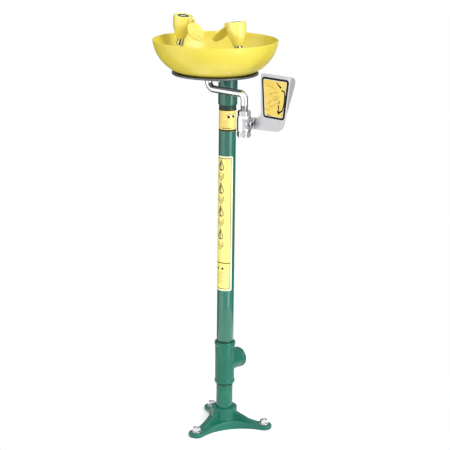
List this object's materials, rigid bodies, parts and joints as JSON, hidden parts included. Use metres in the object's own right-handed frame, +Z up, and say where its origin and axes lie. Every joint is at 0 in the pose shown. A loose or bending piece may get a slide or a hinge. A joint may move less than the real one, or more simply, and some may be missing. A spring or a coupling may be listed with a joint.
{
  "type": "eyewash station",
  "caption": "Pedestal eyewash station with a round bowl, twin covered spray heads, a push-handle ball valve and a waste tee.",
  "frame": {"origin": "on the floor, on the axis of the pedestal pipe", "axes": "+Z up, +X to the user's right where the push handle is, +Y away from the user"},
  "size_m": [0.4025, 0.303, 1.0556],
  "materials": {
    "green_coat": "semi-gloss powder coat",
    "zinc": "zinc plated",
    "chrome": "polished chrome",
    "stainless": "brushed stainless sheet",
    "bracket_grey": "cast",
    "plate_grey": "satin dark grey coat",
    "yellow_plastic": "glossy",
    "bowl_plastic": "satin",
    "black_rubber": "matte",
    "white_plastic": "matte",
    "brass": "machined",
    "pale_label": "printed film",
    "gold_label": "printed film",
    "sign_yellow": "printed film",
    "dark_tape": "thread sealing tape"
  },
  "bodies": {
    "stand": {"floor_flange": "green_coat", "anchor_washers": "zinc", "anchor_nuts": "zinc", "lower_nipple": "green_coat", "waste_tee": "green_coat", "pedestal_pipe": "green_coat", "upper_coupling": "green_coat", "instruction_label": "pale_label", "identity_label": "gold_label", "bowl_bracket": "bracket_grey", "support_dish": "plate_grey", "bowl": "bowl_plastic", "bracket_bolt": "chrome", "bracket_cap_nut": "chrome", "drain_gasket": "black_rubber", "drain_body": "chrome", "drain_strainer": "stainless", "strainer_screw": "stainless", "supply_tube": "chrome", "thread_tape": "dark_tape", "supply_gasket": "black_rubber", "supply_locknut": "chrome", "spray_yoke": "chrome", "left_spray_head": "yellow_plastic", "left_head_collar": "chrome", "left_flow_control": "white_plastic", "left_outlet_insert": "chrome", "left_hinge_pin": "stainless", "right_spray_head": "yellow_plastic", "right_head_collar": "chrome", "right_flow_control": "white_plastic", "right_outlet_insert": "chrome", "right_hinge_pin": "stainless", "valve_body": "chrome", "valve_end_piece": "chrome", "valve_seats": "white_plastic", "stem_seal": "white_plastic", "stem_gland": "brass"},
    "left_cover": {"left_dust_cover": "yellow_plastic"},
    "right_cover": {"right_dust_cover": "yellow_plastic"},
    "handle": {"valve_ball": "chrome", "valve_stem": "stainless", "push_handle": "stainless", "handle_sign": "sign_yellow", "lock_washer": "stainless", "handle_nut": "stainless"}
  },
  "joints": [
    {"name": "left_cover_hinge", "type": "hinge", "parent": "stand", "child": "left_cover", "pos_m": [-0.05548, -0.0695, 1.04488], "axis": [0, -1, 0], "range_deg": [0, 228]},
    {"name": "right_cover_hinge", "type": "hinge", "parent": "stand", "child": "right_cover", "pos_m": [0.05548, -0.0695, 1.04488], "axis": [0, 1, 0], "range_deg": [0, 220]},
    {"name": "handle_turn", "type": "hinge", "parent": "stand", "child": "handle", "pos_m": [0.136, -0.0695, 0.818], "axis": [-1, 0, 0], "range_deg": [0, 90]}
  ]
}
